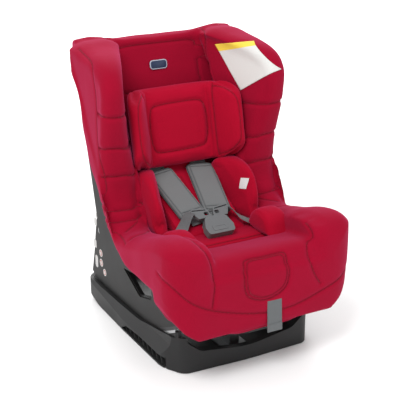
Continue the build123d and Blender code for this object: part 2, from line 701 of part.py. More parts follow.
def size_tag():
    return block(75.0, 75.7, 20, 36, 292, 318)


# ---- write the parts ---------------------------------------------------------------------
def main():
    os.makedirs("parts", exist_ok=True)
    save("base_shell", base_shell())
    save("foot_pads", foot_pads())
    save("rail_screws", rail_screws())
    save("detent_rack", detent_rack())
    for node, (right, left) in {"side_grille": both_sides(side_grille()), "rail": both_sides(rail()),
                                "runner": both_sides(runner())}.items():
        save(f"{node}_right", right)
        save(f"{node}_left", left)
    save("seat_shell", seat_shell())
    save("rear_cover", rear_cover())
    save("lever_bracket", lever_bracket())
    save("shell_screws", rear_screws() + bracket_screws())
    save("lever_pin", lever_pin())
    save("recline_lever", recline_lever())
    save("lever_grip", lever_grip())
    save("lever_spring", lever_spring())
    for name, sign in (("left", -1), ("right", 1)):
        save(f"shoulder_strap_{name}", shoulder_strap(sign))
        save(f"shoulder_pad_{name}", shoulder_pad(sign))
        save(f"tongue_{name}", tongue(sign))
        save(f"clamp_base_{name}", clamp_base(sign))
        save(f"clamp_lever_{name}", clamp_lever(sign))
    save("clamp_pins", clamp_pins())
    save("lap_straps", lap_strap(-1) + lap_strap(1))
    save("buckle_housing", buckle_housing())
    save("buckle_button", buckle_button())
    save("button_spring", button_spring())
    save("crotch_strap", crotch_strap())
    save("anchor_bars", anchor_bars())
    save("yoke_plate", yoke_plate())
    save("adjuster_webbing", adjuster_webbing())
    save("adjuster_housing", adjuster_housing())
    save("adjuster_pin", adjuster_pin())
    save("adjuster_button", adjuster_button())
    save("adjuster_spring", adjuster_spring())
    save("adjuster_strap", adjuster_strap())
    walls = keep_out()
    for node, part in {"wing": wing() - walls, "lobe": lobe() - walls, "insert_bolster": insert_bolster(),
                       "hip_pad": hip_pad()}.items():
        right, left = both_sides(part)
        save(f"{node}_right", right)
        save(f"{node}_left", left)
    save("back_cover", back_cover())
    save("seat_cushion", seat_cushion() - walls)
    save("head_pillow", head_pillow())
    save("insert_back", insert_back())
    save("insert_seat", insert_seat())
    save("crotch_pad", crotch_pad())
    save("flap_patch", flap_patch())
    save("badge", badge())
    save("wing_label", wing_label())
    save("size_tag", size_tag())


main()
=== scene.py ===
import json
import math

import bmesh
import bpy
import numpy as np
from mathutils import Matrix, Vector, kdtree, noise
from mathutils.bvhtree import BVHTree


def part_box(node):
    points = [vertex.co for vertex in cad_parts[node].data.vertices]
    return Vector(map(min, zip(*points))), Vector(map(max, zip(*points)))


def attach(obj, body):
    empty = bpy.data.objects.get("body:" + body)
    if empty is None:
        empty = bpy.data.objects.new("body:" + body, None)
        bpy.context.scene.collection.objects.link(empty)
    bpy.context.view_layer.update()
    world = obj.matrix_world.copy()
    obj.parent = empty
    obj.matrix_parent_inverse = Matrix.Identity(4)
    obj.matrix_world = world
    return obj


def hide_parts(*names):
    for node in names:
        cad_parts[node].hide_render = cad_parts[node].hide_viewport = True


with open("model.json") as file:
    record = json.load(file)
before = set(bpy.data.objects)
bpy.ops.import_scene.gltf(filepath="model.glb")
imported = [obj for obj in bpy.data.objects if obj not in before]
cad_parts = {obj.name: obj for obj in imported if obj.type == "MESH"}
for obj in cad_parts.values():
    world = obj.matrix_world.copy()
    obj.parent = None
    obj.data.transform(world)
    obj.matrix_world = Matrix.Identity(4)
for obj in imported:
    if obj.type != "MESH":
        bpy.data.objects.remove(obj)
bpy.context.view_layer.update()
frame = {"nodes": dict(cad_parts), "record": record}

MM = 0.001
BACK_SLOPE = 0.2785                  # backrest lean, Y per Z


# ---- finishes ----------------------------------------------------------------------------
class Tone:
    """A node socket that takes arithmetic."""

    def __init__(self, finish, socket):
        self.finish, self.socket = finish, socket

    def _maths(self, operation, first, second):
        return self.finish.node("ShaderNodeMath", {"operation": operation}, {0: first, 1: second})

    def __add__(self, other):
        return self._maths("ADD", self, other)

    def __radd__(self, other):
        return self._maths("ADD", other, self)

    def __sub__(self, other):
        return self._maths("SUBTRACT", self, other)

    def __rsub__(self, other):
        return self._maths("SUBTRACT", other, self)

    def __mul__(self, other):
        return self._maths("MULTIPLY", self, other)

    def __rmul__(self, other):
        return self._maths("MULTIPLY", other, self)

    def above(self, level):
        return self._maths("GREATER_THAN", self, level)


class Finish:
    """A procedural material under construction."""

    def __init__(self, name):
        self.material = bpy.data.materials.new(name)
        self.material.use_nodes = True
        self.tree = self.material.node_tree
        self.tree.nodes.clear()

    def node(self, kind, settings=None, inputs=None, output=0):
        made = self.tree.nodes.new(kind)
        for key, value in (settings or {}).items():
            if key == "stops":
                ramp = made.color_ramp
                while len(ramp.elements) < len(value):
                    ramp.elements.new(0.5)
                for element, (place, colour) in zip(ramp.elements, value):
                    element.position, element.color = place, (*colour, 1)
            else:
                setattr(made, key, value)
        for key, value in (inputs or {}).items():
            if isinstance(value, Tone):
                self.tree.links.new(value.socket, made.inputs[key])
            else:
                made.inputs[key].default_value = value
        return Tone(self, made.outputs[output])

    def place(self):
        return self.node("ShaderNodeTexCoord", output="Object")

    def grain(self, scale, detail=2.0, rough=0.5):
        return self.node("ShaderNodeTexNoise", None,
                         {"Vector": self.place(), "Scale": scale, "Detail": detail, "Roughness": rough})

    def mix(self, share, first, second):
        """Mix of two colours."""
        return self.node("ShaderNodeMix", {"data_type": "RGBA"}, {0: share, 6: first, 7: second}, 2)

    def bump(self, height, strength, distance):
        return self.node("ShaderNodeBump", None,
                         {"Height": height, "Strength": strength, "Distance": distance})

    def close(self, **values):
        sockets = {key.replace("_", " "): value for key, value in values.items()}
        shader = self.node("ShaderNodeBsdfPrincipled", None, sockets)
        out = self.tree.nodes.new("ShaderNodeOutputMaterial")
        self.tree.links.new(shader.socket, out.inputs["Surface"])
        return self.material


def rgba(r, g, b):
    return (r, g, b, 1.0)


def knit(name, light, dark, sheen_tint, weave=650.0, relief=0.00045):
    """Brushed knit cloth: fine loops, soft tonal patches and painted shade along the seam creases."""
    f = Finish(name)
    patches = f.grain(9.0, 3.0, 0.55)
    loops = f.node("ShaderNodeTexVoronoi", {"feature": "SMOOTH_F1"}, {"Vector": f.place(), "Scale": weave})
    seam = f.node("ShaderNodeAttribute", {"attribute_name": "seam"}, output="Fac")
    cloth = f.mix(patches * 0.9, rgba(*dark), rgba(*light))
    cloth = f.mix(loops * 0.35, cloth, rgba(*[c * 0.72 for c in dark]))
    # painted shade: the cloth darkens along each pressed seam crease, where shade falls
    cloth = f.mix(seam * 0.55, cloth, rgba(*[c * 0.30 for c in dark]))
    rucks = f.grain(34.0, 3.0, 0.6)
    height = loops * 0.55 + rucks * 0.9
    return f.close(Base_Color=cloth, Roughness=0.86 + patches * 0.08, Sheen_Weight=0.30, Sheen_Roughness=0.45,
                   Sheen_Tint=rgba(*sheen_tint), Specular_IOR_Level=0.10, Normal=f.bump(height, 0.55, relief))


def moulded(name, tone, edge, rough=0.5, grain_size=900.0, relief=0.00012):
    """Moulded plastic with a fine spark-eroded grain and a little wear."""
    f = Finish(name)
    cloud = f.grain(14.0, 4.0, 0.6)
    fine = f.grain(grain_size, 2.0, 0.5)
    colour = f.mix(cloud * 0.8, rgba(*tone), rgba(*edge))
    return f.close(Base_Color=colour, Roughness=rough + cloud * 0.14, Specular_IOR_Level=0.34,
                   Normal=f.bump(fine, 0.5, relief))


def metal(name, tone, rough=0.34):
    f = Finish(name)
    brushed = f.node("ShaderNodeTexNoise", None,
                     {"Vector": f.node("ShaderNodeMapping", None,
                                       {"Vector": f.place(), "Scale": (6.0, 220.0, 220.0)}),
                      "Scale": 4.0, "Detail": 3.0})
    return f.close(Base_Color=f.mix(brushed, rgba(*tone), rgba(*[c * 0.72 for c in tone])), Metallic=1.0,
                   Roughness=rough + brushed * 0.14, Normal=f.bump(brushed, 0.25, 0.0001))


def woven(name, tone, dark):
    """Ribbed seat-belt webbing."""
    f = Finish(name)
    ribs = f.node("ShaderNodeTexWave", {"wave_type": "BANDS", "bands_direction": "X"},
                  {"Vector": f.place(), "Scale": 260.0, "Distortion": 0.4, "Detail": 1.0})
    twill = f.node("ShaderNodeTexWave", {"wave_type": "BANDS", "bands_direction": "DIAGONAL"},
                   {"Vector": f.place(), "Scale": 420.0, "Distortion": 0.2})
    weave = ribs * 0.6 + twill * 0.4
    colour = f.mix(weave * 0.75, rgba(*dark), rgba(*tone))
    return f.close(Base_Color=colour, Roughness=0.66 + weave * 0.15, Sheen_Weight=0.15, Sheen_Roughness=0.5,
                   Normal=f.bump(weave, 0.7, 0.0004))


RED_SHEEN = (1.0, 0.16, 0.42)
GREY_SHEEN = (0.9, 0.95, 1.0)
CRIMSON = knit("crimson_knit", (0.325, 0.0015, 0.022), (0.250, 0.0010, 0.015), RED_SHEEN)
SCARLET = knit("scarlet_knit", (0.390, 0.0015, 0.021), (0.310, 0.0010, 0.015), (1.0, 0.14, 0.38),
               720.0, 0.00035)
# seam thread in a darker red than the cloth: painted crease shade along the seams
SEAM_RED_SHADED = knit("seam_red_shaded", (0.20, 0.0020, 0.012), (0.16, 0.0016, 0.010), (1.0, 0.5, 0.6), 900.0, 0.0002)
PAD_GREY = knit("pad_grey", (0.180, 0.190, 0.192), (0.138, 0.146, 0.149), GREY_SHEEN, 900.0, 0.0003)
PIPING_GREY = knit("piping_grey", (0.075, 0.080, 0.085), (0.055, 0.060, 0.064), GREY_SHEEN, 1000.0, 0.0002)
WEBBING = woven("grey_webbing", (0.150, 0.160, 0.165), (0.070, 0.076, 0.080))
BASE_GREY = moulded("base_grey", (0.0085, 0.0085, 0.009), (0.014, 0.014, 0.0145), 0.42)
SHELL_BLACK = moulded("shell_black", (0.0075, 0.0070, 0.0070), (0.012, 0.0115, 0.0115), 0.48)
GRILLE_BLACK = moulded("grille_black", (0.010, 0.010, 0.010), (0.016, 0.016, 0.016), 0.6)
NYLON = moulded("nylon_black", (0.022, 0.022, 0.023), (0.030, 0.030, 0.031), 0.36)
BUCKLE_GREY = moulded("buckle_grey", (0.112, 0.119, 0.124), (0.140, 0.147, 0.152), 0.36, 1400.0, 0.00006)
GRIP = moulded("grip_black", (0.014, 0.014, 0.015), (0.022, 0.022, 0.023), 0.55)
LEVER_PAINT = moulded("lever_paint", (0.018, 0.018, 0.019), (0.026, 0.026, 0.027), 0.35, 500.0, 0.00005)
RUBBER = moulded("foot_rubber", (0.012, 0.012, 0.012), (0.020, 0.020, 0.020), 0.75, 600.0)
STEEL = metal("zinc_steel", (0.56, 0.57, 0.58))


def label_cloth():
    """Woven white label with a yellow band along its top edge, otherwise blank."""
    f = Finish("label_cloth")
    spot = f.node("ShaderNodeUVMap", {"uv_map": "label"})
    across = f.node("ShaderNodeSeparateXYZ", None, {"Vector": spot}, 1)
    band = across.above(0.84)
    weave = f.grain(1500.0)
    cloth = f.mix(band, rgba(0.62, 0.62, 0.60), rgba(0.80, 0.58, 0.03))
    cloth = f.mix(weave * 0.16, cloth, rgba(0.42, 0.42, 0.40))
    return f.close(Base_Color=cloth, Roughness=0.8, Normal=f.bump(weave, 0.4, 0.0001))


def plain_label(name, tone):
    f = Finish(name)
    weave = f.grain(1300.0)
    return f.close(Base_Color=f.mix(weave * 0.2, rgba(*tone), rgba(*[c * 0.7 for c in tone])), Roughness=0.62,
                   Normal=f.bump(weave, 0.3, 0.0001))


LABEL = label_cloth()
TAG_WHITE = plain_label("tag_white", (0.62, 0.62, 0.61))
STICKER_PALE = plain_label("sticker_pale", (0.55, 0.54, 0.53))
STICKER_BLUE = plain_label("sticker_blue", (0.06, 0.20, 0.32))
STICKER_RED = plain_label("sticker_red", (0.42, 0.10, 0.08))
BADGE_NAVY = moulded("badge_navy", (0.010, 0.022, 0.062), (0.014, 0.028, 0.075), 0.22, 300.0, 0.00002)
BADGE_RIM = moulded("badge_rim", (0.34, 0.38, 0.46), (0.42, 0.46, 0.54), 0.3, 300.0, 0.00002)

NODE_FINISH = {
    "base_plastic": BASE_GREY, "grille_plastic": GRILLE_BLACK, "rubber": RUBBER, "steel": STEEL,
    "shell_plastic": SHELL_BLACK, "nylon": NYLON, "lever_paint": LEVER_PAINT, "grip_plastic": GRIP,
    "webbing": WEBBING, "pad_fabric": PAD_GREY, "buckle_plastic": BUCKLE_GREY, "cover_fabric": CRIMSON,
    "insert_fabric": SCARLET, "badge_plastic": BADGE_NAVY, "label_cloth": TAG_WHITE,
}
for part in frame["record"]["subparts"]:
    node = frame["nodes"][part["node"]]
    node.data.materials.clear()
    node.data.materials.append(NODE_FINISH[part["material_slot"]])


# ---- modelling helpers -------------------------------------------------------------------
def clear_selection():
    if bpy.context.object and bpy.context.object.mode != "OBJECT":
        bpy.ops.object.mode_set(mode="OBJECT")
    bpy.ops.object.select_all(action="DESELECT")


def activate(piece):
    clear_selection()
    piece.select_set(True)
    bpy.context.view_layer.objects.active = piece


def side(u, v, h):
    return Vector((h, u, v)) * MM


def front(u, v, h):
    return Vector((u, h, v)) * MM


def plan(u, v, h):
    return Vector((u, v, h)) * MM


def curve_through(points, steps=5, closed=True):
    """Catmull-Rom curve through the points, any dimension."""
    pts = [np.array(p, float) for p in points]
    count = len(pts)
    made = []
    spans = count if closed else count - 1
    for i in range(spans):
        if closed:
            a, b, c, d = (pts[(i + k) % count] for k in (-1, 0, 1, 2))
        else:
            a, b, c, d = pts[max(i - 1, 0)], pts[i], pts[i + 1], pts[min(i + 2, count - 1)]
        for k in range(steps):
            t = k / steps
            made.append(0.5 * (2 * b + (c - a) * t + (2 * a - 5 * b + 4 * c - d) * t ** 2
                               + (3 * b - a - 3 * c + d) * t ** 3))
    if not closed:
        made.append(pts[-1])
    return made


def stacked(name, outline, layers, place, shape=None):
    """A filled ring extruded layer by layer. A layer is (height, inset); shape may move each point."""
    ring = [Vector(p[:2]) for p in outline]
    count = len(ring)
    turn = sum(ring[i - 1].cross(ring[i]) for i in range(count))
    inward = []
    for i in range(count):
        along = (ring[(i + 1) % count] - ring[i - 1]).normalized()
        inward.append(Vector((-along.y, along.x)) * (1 if turn > 0 else -1))

    def where(i, height, inset):
        u, v = ring[i] + inward[i] * inset
        return shape(u, v, height) if shape else place(u, v, height)

    clear_selection()
    bpy.ops.mesh.primitive_circle_add(vertices=count, radius=0.1, fill_type="NGON")
    piece = bpy.context.object
    piece.name = name
    tag = piece.data.attributes.new("ring", "INT", "POINT")
    tag.data.foreach_set("value", list(range(count)))
    for i, vertex in enumerate(piece.data.vertices):
        vertex.co = where(i, *layers[0])
    bpy.ops.object.mode_set(mode="EDIT")
    bpy.ops.mesh.select_all(action="SELECT")
    for layer in layers[1:]:
        bpy.ops.mesh.extrude_region_move()
        edit = bmesh.from_edit_mesh(piece.data)
        index = edit.verts.layers.int["ring"]
        for vertex in edit.verts:
            if vertex.select:
                vertex.co = where(vertex[index], *layer)
        bmesh.update_edit_mesh(piece.data)
    bpy.ops.mesh.select_all(action="SELECT")
    bpy.ops.mesh.normals_make_consistent(inside=False)
    bpy.ops.object.mode_set(mode="OBJECT")
    return piece


def mirrored(piece, name):
    """A copy of a piece on the other side of the middle."""
    twin = piece.copy()
    twin.data = piece.data.copy()
    twin.name = name
    bpy.context.collection.objects.link(twin)
    for vertex in twin.data.vertices:
        vertex.co.x = -vertex.co.x
    activate(twin)
    bpy.ops.object.mode_set(mode="EDIT")
    bpy.ops.mesh.select_all(action="SELECT")
    bpy.ops.mesh.normals_make_consistent(inside=False)
    bpy.ops.object.mode_set(mode="OBJECT")
    return twin


def fused(name, pieces, voxel, smooth):
    """Blocks sewn into one soft body."""
    clear_selection()
    for piece in pieces:
        piece.select_set(True)
    bpy.context.view_layer.objects.active = pieces[0]
    if len(pieces) > 1:
        bpy.ops.object.join()
    body = bpy.context.object
    body.name = name
    body.data.remesh_voxel_size = voxel * MM
    body.data.remesh_voxel_adaptivity = 0
    bpy.ops.object.voxel_remesh()
    soften = body.modifiers.new("soften", "SMOOTH")
    soften.factor, soften.iterations = 0.5, smooth
    bpy.ops.object.modifier_apply(modifier="soften")
    return body


def swell(body, pressure=4.0, cap=6.0):
    """Cloth filled with air for a few frames, each point held to a short way."""
    start = np.array([v.co for v in body.data.vertices])
    activate(body)
    cloth = body.modifiers.new("fill", "CLOTH")
    cloth.settings.use_pressure = True
    cloth.settings.uniform_pressure_force = pressure
    cloth.settings.effector_weights.gravity = 0
    cloth.settings.tension_stiffness = cloth.settings.compression_stiffness = 12
    scene = bpy.context.scene
    for step in range(1, 15):
        scene.frame_set(step)
    seen = body.evaluated_get(bpy.context.evaluated_depsgraph_get())
    end = np.array([v.co for v in seen.data.vertices])
    body.modifiers.remove(cloth)
    scene.frame_set(1)
    move = end - start
    length = np.linalg.norm(move, axis=1, keepdims=True)
    move *= np.minimum(1.0, cap * MM / np.maximum(length, 1e-9))
    body.data.vertices.foreach_set("co", (start + move).ravel())
    body.data.update()


def coords(body):
    flat = np.empty(len(body.data.vertices) * 3)
    body.data.vertices.foreach_get("co", flat)
    return flat.reshape(-1, 3)


def normals(body):
    flat = np.empty(len(body.data.vertices) * 3)
    body.data.vertices.foreach_get("normal", flat)
    return flat.reshape(-1, 3)


def set_coords(body, points):
    body.data.vertices.foreach_set("co", points.ravel())
    body.data.update()


def ruck(body, amount, size):
    """Slow uneven swelling of stuffed cloth."""
    points, out = coords(body), normals(body)
    lift = np.array([noise.noise(Vector(p) / (size * MM)) for p in points])
    set_coords(body, points + out * (lift * amount * MM)[:, None])


def surface(body):
    activate(body)
    return BVHTree.FromObject(body, bpy.context.evaluated_depsgraph_get())


def sew(body, seams, name=None, thread=0.5, finish=None):
    """Presses seams into a body and lays a thread in each. A seam is (points mm, width, depth)."""
    skin = surface(body)
    tracks = []
    for points, width, depth, closed in seams:
        dense = curve_through(points, 14, closed)
        track = [skin.find_nearest(Vector(p) * MM)[0] for p in dense]
        track = even(track, 2.0 * MM, closed)
        for _ in range(4):
            track = eased(track, closed)
        tracks.append((track, width, depth, closed))
    count = sum(len(t[0]) for t in tracks)
    tree = kdtree.KDTree(count)
    traits = []
    for track, width, depth, _ in tracks:
        for p in track:
            tree.insert(p, len(traits))
            traits.append((width, depth))
    tree.balance()
    points, out = coords(body), normals(body)
    drop = np.zeros(len(points))
    shade = np.zeros(len(points))
    for i, p in enumerate(points):
        _, k, distance = tree.find(p)
        width, depth = traits[k]
        near = distance / (width * MM)
        if near < CREASE_REACH:
            drop[i] = depth * math.exp(-near * near)
            # painted crease shade along the thread, stored in the seam attribute for the knit finishes
            shade[i] = math.exp(-(distance / (SEAM_SHADE_WIDTH * MM)) ** 2)
    set_coords(body, points - out * (drop * MM)[:, None])
    mark = body.data.attributes.get("seam") or body.data.attributes.new("seam", "FLOAT", "POINT")
    mark.data.foreach_set("value", shade.astype(np.float32))
    if name is None:
        return None
    skin = surface(body)
    cords = []
    for track, _, _, closed in tracks:
        laid = []
        for p in track:
            spot, normal, _, _ = skin.find_nearest(p)
            laid.append(spot + normal * 0.15 * MM)
        cords.append(tube("thread", laid, thread, closed))
    clear_selection()
    for cord in cords:
        cord.select_set(True)
    bpy.context.view_layer.objects.active = cords[0]
    if len(cords) > 1:
        bpy.ops.object.join()
    threads = bpy.context.object
    threads.name = name
    return settle(threads, finish or SEAM_RED_SHADED, "seat")


def eased(track, closed):
    """Takes the jitter out of a track, its ends kept."""
    count = len(track)
    made = []
    for i, p in enumerate(track):
        if not closed and i in (0, count - 1):
            made.append(p)
            continue
        made.append((track[i - 1] + p * 2 + track[(i + 1) % count]) / 4)
    return made


def even(track, step, closed):
    """Points at an even spacing along a track."""
    pts = track + [track[0]] if closed else track
    length = np.concatenate([[0], np.cumsum([(b - a).length for a, b in zip(pts, pts[1:])])])
    count = max(int(length[-1] / step), 2)
    places = np.linspace(0, length[-1], count, endpoint=not closed)
    flat = np.array([tuple(p) for p in pts])
    return [Vector([np.interp(s, length, flat[:, k]) for k in range(3)]) for s in places]


def tube(name, points, radius, closed=False):
    """A round cord along points given in metres, radius in mm."""
    line = bpy.data.curves.new(name, "CURVE")
    line.dimensions = "3D"
    line.bevel_depth = radius * MM
    line.bevel_resolution = 1
    line.use_fill_caps = not closed
    run = line.splines.new("POLY")
    run.points.add(len(points) - 1)
    for point, p in zip(run.points, points):
        point.co = (*p, 1)
    run.use_cyclic_u = closed
    cord = bpy.data.objects.new(name, line)
    bpy.context.collection.objects.link(cord)
    activate(cord)
    bpy.ops.object.convert(target="MESH")
    return bpy.context.object


def settle(piece, finish, body, smooth=True):
    """Last steps for every new piece: finish, shading, body and material slot."""
    piece.data.materials.clear()
    piece.data.materials.append(finish)
    activate(piece)
    if smooth:
        bpy.ops.object.shade_smooth()
    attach(piece, body)
    return piece


def padded(piece, finish, slot, fill, *nodes):
    settle(piece, finish, "seat")
    if nodes:
        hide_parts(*nodes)
    return piece


def back_y(z, offset=0.0):
    return 148.0 + (z - 205.0) * BACK_SLOPE + offset


# ---- camera ------------------------------------------------------------------------------
AZIMUTH, ELEVATION = math.radians(28.68), math.radians(20.5)
camera_data = bpy.data.cameras.new("camera")
camera_data.lens, camera_data.sensor_width = 97.4, 36.0
camera = bpy.data.objects.new("camera", camera_data)
bpy.context.collection.objects.link(camera)
camera.location = (-1.0694, -1.9286, 1.1259)
gaze = Vector((math.sin(AZIMUTH) * math.cos(ELEVATION), math.cos(AZIMUTH) * math.cos(ELEVATION),
               -math.sin(ELEVATION)))
camera.rotation_mode = "QUATERNION"
camera.rotation_quaternion = gaze.to_track_quat("-Z", "Y")
bpy.context.scene.camera = camera
bpy.context.scene.view_settings.view_transform = "Standard"


# ---- main cover: one fitted skin over the side padding, back, seat and front ------------------
# side outlines (Y, Z): a wing down the back, a lobe beside the seat, and the seat cushion
WING = [(240, 622), (205, 630), (160, 624), (108, 618), (72, 609), (44, 592), (28, 565), (25, 535),
        (33, 478), (49, 401), (55, 342), (50, 305), (33, 277), (6, 262), (-12, 246), (-16, 226), (-4, 210),
        (18, 220), (48, 251), (82, 290), (108, 332), (138, 367), (157, 417), (167, 469), (173, 512),
        (188, 531), (217, 558), (235, 596)]
LOBE = [(70, 296), (48, 300), (33, 277), (4, 264), (-30, 267), (-88, 282), (-150, 304), (-204, 313),
        (-240, 303), (-259, 276), (-264, 236), (-261, 206), (-246, 188), (-222, 183), (-149, 187),
        (-88, 189), (-36, 193),
        (4, 213), (48, 251), (68, 276)]
CUSHION = [(112, 196), (20, 204), (-70, 212), (-104, 228), (-128, 248), (-190, 266), (-232, 272), (-252, 258),
           (-258, 225), (-258, 180), (-236, 176), (-228, 226), (-150, 210), (-80, 186), (60, 168), (110, 174)]
CORNER_X, CORNER_Y, CORNER_R = 160.0, -205.0, 58.0      # the upright round of the two front corners
CREASE_REACH = 3.2                   # a seam pulls the cloth in this many widths around it
SEAM_SHADE_WIDTH = 1.7                    # width of the painted crease shade along a thread


def inner_face(y, z):
    """Half width between the side paddings: they are thin at the front edge and thick at the back."""
    if z < 300 and y < 45:
        return float(np.interp(y, [-250, -150, -100, -30, 45], [116, 120, 128, 131, 128]))
    lip = float(np.interp(z, [230, 267, 306, 371, 430, 500, 560, 610, 650],
                          [127, 130, 134, 138, 157, 171, 172, 167, 158]))
    root = float(np.interp(z, [230, 450, 490, 540, 600], [140, 138, 132, 112, 106]))
    return lip + (root - lip) * min(max((y - 45) / 155, 0), 1)


def outer_face(z):
    return float(np.interp(z, [175, 330, 420, 480, 560, 620, 655], [217, 217, 219, 222, 222, 214, 206]))


def side_padding(u, v, h):
    """h runs from 0 at the inner face to 1 at the outer face."""
    inner = inner_face(u, v)
    return Vector((inner + (outer_face(v) - inner) * h, u, v)) * MM


def apron_shape(u, v, h):
    """h runs from 0 at the hem to 1 under the lobes."""
    hem = float(np.interp(abs(u), [0, 120, 160, 185, 205, 218], [99, 105, 113, 130, 157, 184]))
    return Vector((u, v, hem + (236 - hem) * h)) * MM


def round_front_corners(points):
    """Pulls the two front corners in to one upright radius, so lobes and apron share a face."""
    x = np.abs(points[:, 0]) / MM - CORNER_X
    y = CORNER_Y - points[:, 1] / MM
    reach = np.hypot(x, y)
    out = (x > 0) & (y > 0) & (reach > CORNER_R)
    scale = np.where(out, (CORNER_R + (reach - CORNER_R) * 0.1) / np.maximum(reach, 1e-6), 1.0)
    points[:, 0] = np.sign(points[:, 0]) * np.where(out, CORNER_X + x * scale, np.abs(points[:, 0]) / MM) * MM
    points[:, 1] = np.where(out, CORNER_Y - y * scale, points[:, 1] / MM) * MM
    return points


def main_cover():
    crown = [(0, 13), (0.10, 6), (0.25, 1), (0.5, 0), (0.72, 1), (0.88, 7), (1.0, 18)]
    wing = stacked("wing", [tuple(p) for p in curve_through(WING, 4)], crown, side, side_padding)
    lobe = stacked("lobe", [tuple(p) for p in curve_through(LOBE, 4)], crown, side, side_padding)
    left_wing, left_lobe = mirrored(wing, "wing_l"), mirrored(lobe, "lobe_l")
    back = [(back_y(212, -21), 212), (back_y(556, -21), 556), (230, 590), (234, 606), (246, 619), (262, 621),
            (275, 610), (272, 594), (262, 598), (back_y(590), 590), (back_y(212, 2), 212)]
    centre = stacked("back", back, [(-142, 0), (142, 0)], side)
    top_edge = [(-192, 594), (-196, 628), (-158, 633), (-122, 628), (-80, 621), (0, 618), (80, 621), (122, 628),
                (158, 633), (196, 628), (192, 594), (0, 590)]
    roll = stacked("roll", top_edge, [(231, 5), (240, 0), (254, 3), (266, 8), (275, 16)], front)
    cushion = stacked("cushion", [tuple(p) for p in curve_through(CUSHION, 4)], [(-128, 0), (128, 0)], side)
    bend = [(CORNER_X + CORNER_R * math.sin(a), CORNER_Y - CORNER_R * math.cos(a))
            for a in [math.radians(15 * k) for k in range(7)]]
    inside = [(-184, -172), (-150, -218), (-62, -218), (-54, -243), (54, -243), (62, -218), (150, -218),
              (184, -172)]               # set back in the middle, so the recline grip has room to rise
    band = [(218, -172)] + bend[::-1] + [(-x, y) for x, y in bend] + [(-218, -172)] + inside
    apron = stacked("apron", band, [(0, 5), (0.05, 1), (0.4, 0), (1, 0)], plan, apron_shape)
    pieces = [wing, lobe, left_wing, left_lobe, centre, roll, cushion, apron]
    cover = fused("cover", pieces, 3.4, 26)
    set_coords(cover, round_front_corners(coords(cover)))
    ruck(cover, 1.5, 65)
    return cover


cover = main_cover()
seams = []
QUILTS = ((-1, ((505, 90), (430, 78), (365, 66), (303, 60), (277, 52))),
          (1, ((484, 60), (407, 66), (345, 66), (280, 60), (252, 66))))
for way, rows in QUILTS:
    for z, y in rows:
        lip = inner_face(50, z)
        seams.append(([(way * (lip - 8), 110, z - 8), (way * lip, 58, z - 2), (way * (lip + 14), 34, z),
                       (way * (lip + 32), 30, z + 1), (way * 208, 34, z + 2), (way * 215, 50, z + 3),
                       (way * 217, 70, z + 3)], 4.8, 3.6, False))
    seams.append(([(way * 214, 192, 636), (way * 217, 110, 612), (way * 219, 84, 570), (way * 220, 74, 515),
                   (way * 217, 74, 440), (way * 214, 60, 378), (way * 214, 44, 320), (way * 214, 20, 284),
                   (way * 214, -40, 256)], 4.0, 1.3, False))
    seams.append(([(way * 122, 248, 628), (way * 112, 212, 622), (way * 106, 206, 590), (way * 106, 194, 550),
                   (way * 118, 176, 510), (way * 134, 150, 486)], 4.5, 2.6, False))
    seams.append(([(way * 136, 60, 252), (way * 160, 26, 262), (way * 190, 6, 262)], 5.0, 2.6, False))
    seams.append(([(way * 140, -6, 262), (way * 168, -34, 266), (way * 200, -44, 258)], 5.0, 2.0, False))
seams.append(([(-84, 222, 602), (0, 226, 604), (84, 222, 602), (98, 218, 588), (101, 206, 530), (94, 202, 506),
               (0, 200, 502), (-94, 202, 506), (-101, 206, 530), (-98, 218, 588)], 4.2, 2.4, True))
seams += [
    ([(-128, -92, 272), (-134, -150, 298), (-136, -190, 308), (-133, -240, 300), (-124, -258, 262),
      (-123, -262, 230), (-129, -262, 184)], 5.0, 3.4, False),
    ([(120, -206, 299), (112, -228, 292), (104, -244, 278), (98, -258, 250),
      (108, -262, 212), (127, -262, 180)], 5.0, 3.4, False),
    ([(-216, -196, 252), (-207, -240, 236), (-174, -258, 203), (-131, -262, 179), (-70, -263, 158),
      (-10, -263, 145), (40, -263, 143), (80, -262, 149), (154, -258, 171), (193, -246, 189),
      (212, -225, 206)], 4.2, 2.4, False),
    ([(-48, -252, 268), (-4, -254, 271), (40, -252, 268), (46, -262, 250), (49, -264, 218), (38, -264, 188),
      (-4, -264, 174), (-46, -264, 188), (-57, -264, 218), (-54, -262, 250)], 3.8, 2.6, True),
    ([(-42, -254, 262), (-4, -256, 265), (34, -254, 262), (40, -262, 246), (43, -264, 219), (32, -264, 193),
      (-4, -264, 181), (-40, -264, 193), (-51, -264, 219), (-48, -262, 246)], 2.4, 0.8, True),
]
sew(cover, seams, "cover_threads")
padded(cover, CRIMSON, "cover_fabric", 0.7, "wing_left", "wing_right", "back_cover", "lobe_left", "lobe_right",
       "seat_cushion", "flap_patch")


# ---- head pillow -------------------------------------------------------------------------
PILLOW_UP = Vector((0, 0.2250, 0.9744))
PILLOW_BACK = Vector((0, 0.9744, -0.2250))
PILLOW_HOME = Vector((0, 141, 348))


def pillow_place(u, v, h):
    """Rounds off the tips of the two ears."""
    reach = max(-v - 42, 0) / 53
    middle = 84
    h = middle + (h - middle) * (1 - 0.40 * reach ** 2)
    return (PILLOW_HOME + Vector((u, 0, 0)) + PILLOW_BACK * v + PILLOW_UP * h) * MM


